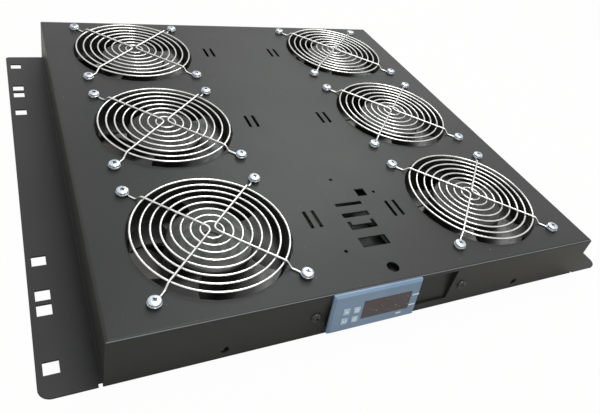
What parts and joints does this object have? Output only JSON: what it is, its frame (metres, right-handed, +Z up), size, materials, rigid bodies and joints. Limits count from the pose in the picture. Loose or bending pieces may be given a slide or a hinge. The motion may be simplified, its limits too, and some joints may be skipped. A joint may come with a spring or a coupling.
{
  "type": "rack fan tray",
  "caption": "Low sheet-metal rack tray with axial fans under wire finger guards, flat side wings with square holes and a small temperature controller in the front flange.",
  "frame": {"origin": "middle of the overall outline, on the plane that the undersides of the two side wings stand on", "axes": "+X to the right seen from the front, +Y to the rear, +Z up, the direction that the fans' guards face"},
  "size_m": [0.4826, 0.4294, 0.0484],
  "materials": {
    "black_powder_coat": "satin black polyester powder coat",
    "fan_casting": "black enamel on die-cast aluminium",
    "motor_steel": "varnished laminations and windings",
    "impeller_black": "gloss black moulding",
    "ground_steel": "ground",
    "bright_wire": "bright chrome-plated wire",
    "sintered_bronze": "oiled sintered sleeve",
    "zinc_plate": "blue-white zinc plate",
    "bezel_plastic": "fine satin moulding",
    "case_plastic": "matt moulding",
    "display_tint": "dark red-brown tinted pane",
    "module_plastic": "matt",
    "board_green": "solder mask",
    "key_plastic": "satin",
    "clip_orange": "satin",
    "terminal_green": "satin",
    "black_screw": "black oxide",
    "nickel_contact": "nickel-plated brass"
  },
  "bodies": {
    "tray": {"tray_shell": "black_powder_coat", "fan_frame_1": "fan_casting", "stator_1": "motor_steel", "finger_guard_1": "bright_wire", "fan_frame_2": "fan_casting", "stator_2": "motor_steel", "finger_guard_2": "bright_wire", "fan_frame_3": "fan_casting", "stator_3": "motor_steel", "finger_guard_3": "bright_wire", "fan_frame_4": "fan_casting", "stator_4": "motor_steel", "finger_guard_4": "bright_wire", "fan_frame_5": "fan_casting", "stator_5": "motor_steel", "finger_guard_5": "bright_wire", "fan_frame_6": "fan_casting", "stator_6": "motor_steel", "finger_guard_6": "bright_wire", "fan_bushes": "sintered_bronze", "guard_screws": "zinc_plate", "controller_bezel": "bezel_plastic", "controller_case": "case_plastic", "display_window": "display_tint", "display_module": "module_plastic", "controller_boards": "board_green", "side_clips": "clip_orange", "controller_terminals": "terminal_green", "controller_carrier": "black_powder_coat", "carrier_screws": "black_screw", "carrier_nuts": "zinc_plate", "power_inlet": "case_plastic", "inlet_pins": "nickel_contact", "inlet_screws": "zinc_plate", "inlet_nuts": "zinc_plate"},
    "impeller_1": {"impeller_1": "impeller_black", "rotor_shaft_1": "ground_steel"},
    "impeller_2": {"impeller_2": "impeller_black", "rotor_shaft_2": "ground_steel"},
    "impeller_3": {"impeller_3": "impeller_black", "rotor_shaft_3": "ground_steel"},
    "impeller_4": {"impeller_4": "impeller_black", "rotor_shaft_4": "ground_steel"},
    "impeller_5": {"impeller_5": "impeller_black", "rotor_shaft_5": "ground_steel"},
    "impeller_6": {"impeller_6": "impeller_black", "rotor_shaft_6": "ground_steel"},
    "key_up": {"key_up": "key_plastic"},
    "key_set": {"key_set": "key_plastic"},
    "key_down": {"key_down": "key_plastic"},
    "key_power": {"key_power": "key_plastic"}
  },
  "joints": [
    {"name": "impeller_1_spin", "type": "hinge", "parent": "tray", "child": "impeller_1", "pos_m": [-0.121, -0.13511, 0.02], "axis": [0, 0, 1], "continuous": true},
    {"name": "impeller_2_spin", "type": "hinge", "parent": "tray", "child": "impeller_2", "pos_m": [-0.121, 0.00239, 0.02], "axis": [0, 0, 1], "continuous": true},
    {"name": "impeller_3_spin", "type": "hinge", "parent": "tray", "child": "impeller_3", "pos_m": [-0.121, 0.13989, 0.02], "axis": [0, 0, 1], "continuous": true},
    {"name": "impeller_4_spin", "type": "hinge", "parent": "tray", "child": "impeller_4", "pos_m": [0.121, -0.13511, 0.02], "axis": [0, 0, 1], "continuous": true},
    {"name": "impeller_5_spin", "type": "hinge", "parent": "tray", "child": "impeller_5", "pos_m": [0.121, 0.00239, 0.02], "axis": [0, 0, 1], "continuous": true},
    {"name": "impeller_6_spin", "type": "hinge", "parent": "tray", "child": "impeller_6", "pos_m": [0.121, 0.13989, 0.02], "axis": [0, 0, 1], "continuous": true},
    {"name": "key_up_press", "type": "slide", "parent": "tray", "child": "key_up", "axis": [0, 0.9925, -0.1219], "range_m": [0, 0.0004], "stiffness_N_per_m": 1500},
    {"name": "key_set_press", "type": "slide", "parent": "tray", "child": "key_set", "axis": [0, 0.9925, -0.1219], "range_m": [0, 0.0004], "stiffness_N_per_m": 1500},
    {"name": "key_down_press", "type": "slide", "parent": "tray", "child": "key_down", "axis": [0, 0.9925, -0.1219], "range_m": [0, 0.0004], "stiffness_N_per_m": 1500},
    {"name": "key_power_press", "type": "slide", "parent": "tray", "child": "key_power", "axis": [0, 0.9925, -0.1219], "range_m": [0, 0.0004], "stiffness_N_per_m": 1500}
  ]
}
